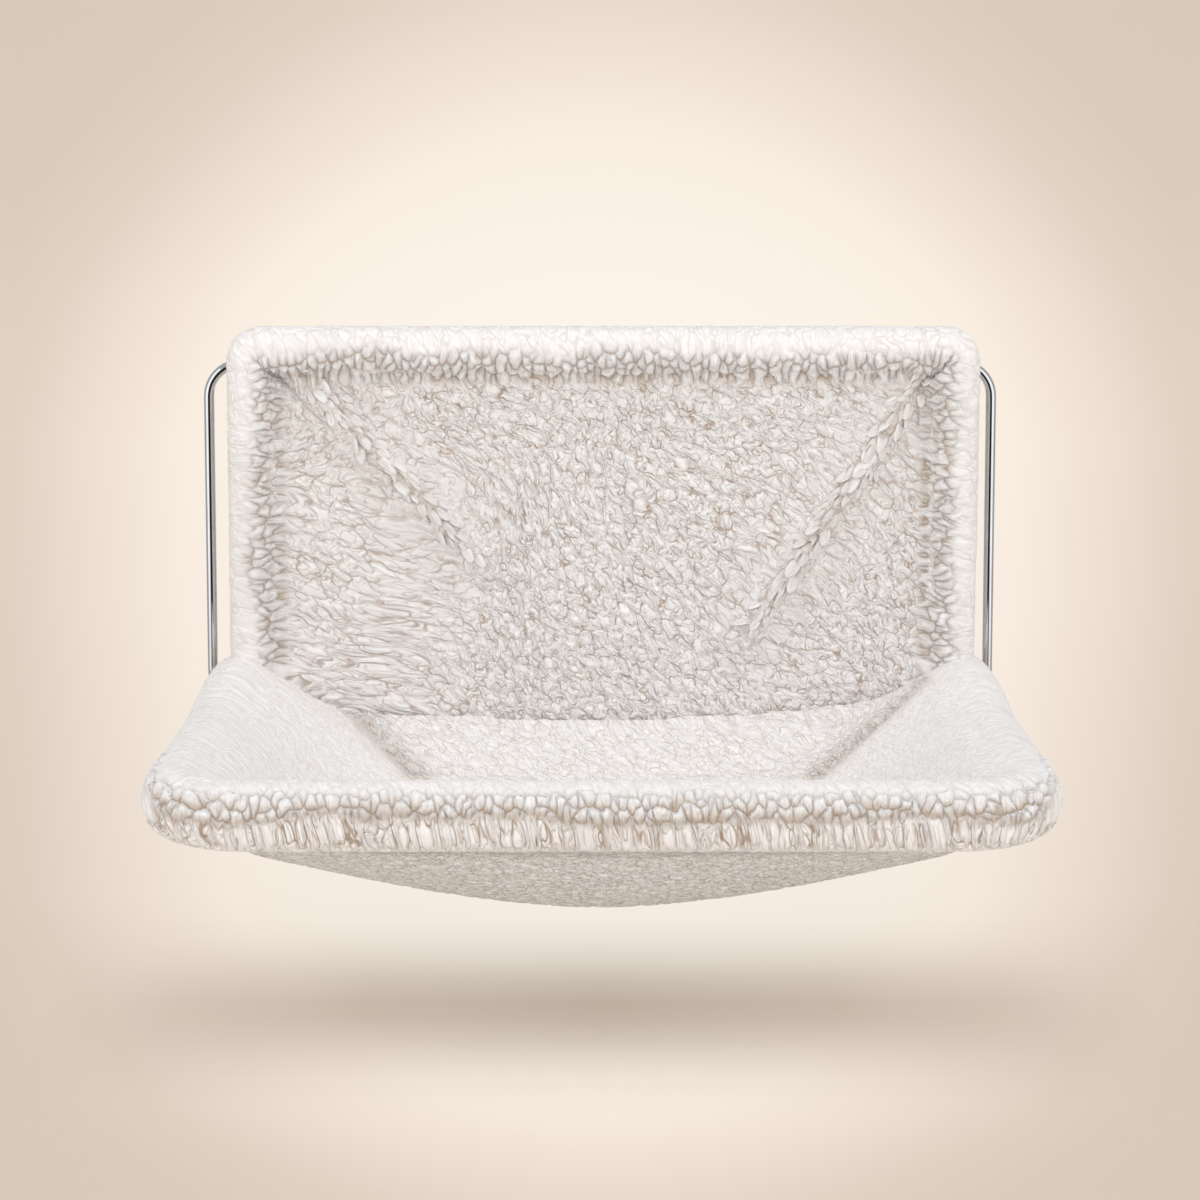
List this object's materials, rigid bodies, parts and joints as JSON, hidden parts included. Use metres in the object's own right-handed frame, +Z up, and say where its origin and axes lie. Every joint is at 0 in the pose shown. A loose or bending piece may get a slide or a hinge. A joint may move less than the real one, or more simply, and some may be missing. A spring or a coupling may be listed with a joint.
{
  "type": "cat radiator bed",
  "caption": "Cat bed that hangs on a radiator: wire frame on two adjustable hooks, fleece back panel and a fleece seat that sags inside padded hems",
  "frame": {"origin": "on the radiator's top front edge, in the middle of the bed's width", "axes": "+X to the right as seen from the cat's side, +Y into the radiator and away from the cat's side, +Z up"},
  "size_m": [0.5026, 0.3868, 0.3044],
  "materials": {
    "chrome": "bright chrome plate",
    "zinc_steel": "bright zinc plate",
    "black_rubber": "matte moulded rubber",
    "fleece": "off-white long-pile fleece",
    "closure_tape": "hook-and-loop tape"
  },
  "bodies": {
    "bed": {"back_loop": "chrome", "cover_rail": "zinc_steel", "seat_rail": "zinc_steel", "corner_plate_left": "zinc_steel", "corner_plate_right": "zinc_steel", "seat_bolts": "zinc_steel", "seat_washers": "zinc_steel", "seat_nuts": "zinc_steel", "hook_bracket_left": "chrome", "hook_bracket_right": "chrome", "bumper_left": "black_rubber", "bumper_right": "black_rubber", "panel_hem": "fleece", "back_panel": "fleece", "panel_closure": "closure_tape", "front_hem": "fleece", "side_hem_left": "fleece", "side_hem_right": "fleece", "seat_sling": "fleece"},
    "left_hook": {"hook_slider_left": "zinc_steel", "hook_stud_left": "zinc_steel", "hook_washer_left": "zinc_steel", "leg_cap_left": "black_rubber"},
    "right_hook": {"hook_slider_right": "zinc_steel", "hook_stud_right": "zinc_steel", "hook_washer_right": "zinc_steel", "leg_cap_right": "black_rubber"},
    "left_wing_nut": {"wing_nut_left": "zinc_steel"},
    "right_wing_nut": {"wing_nut_right": "zinc_steel"}
  },
  "joints": [
    {"name": "left_hook_slide", "type": "slide", "parent": "bed", "child": "left_hook", "axis": [0, 1, 0], "range_m": [-0.025, 0.03]},
    {"name": "left_wing_nut_turn", "type": "hinge", "parent": "left_hook", "child": "left_wing_nut", "pos_m": [-0.14, 0.039, 0], "axis": [0, 0, 1], "continuous": true},
    {"name": "right_hook_slide", "type": "slide", "parent": "bed", "child": "right_hook", "axis": [0, 1, 0], "range_m": [-0.025, 0.03]},
    {"name": "right_wing_nut_turn", "type": "hinge", "parent": "right_hook", "child": "right_wing_nut", "pos_m": [0.14, 0.039, 0], "axis": [0, 0, 1], "continuous": true}
  ]
}
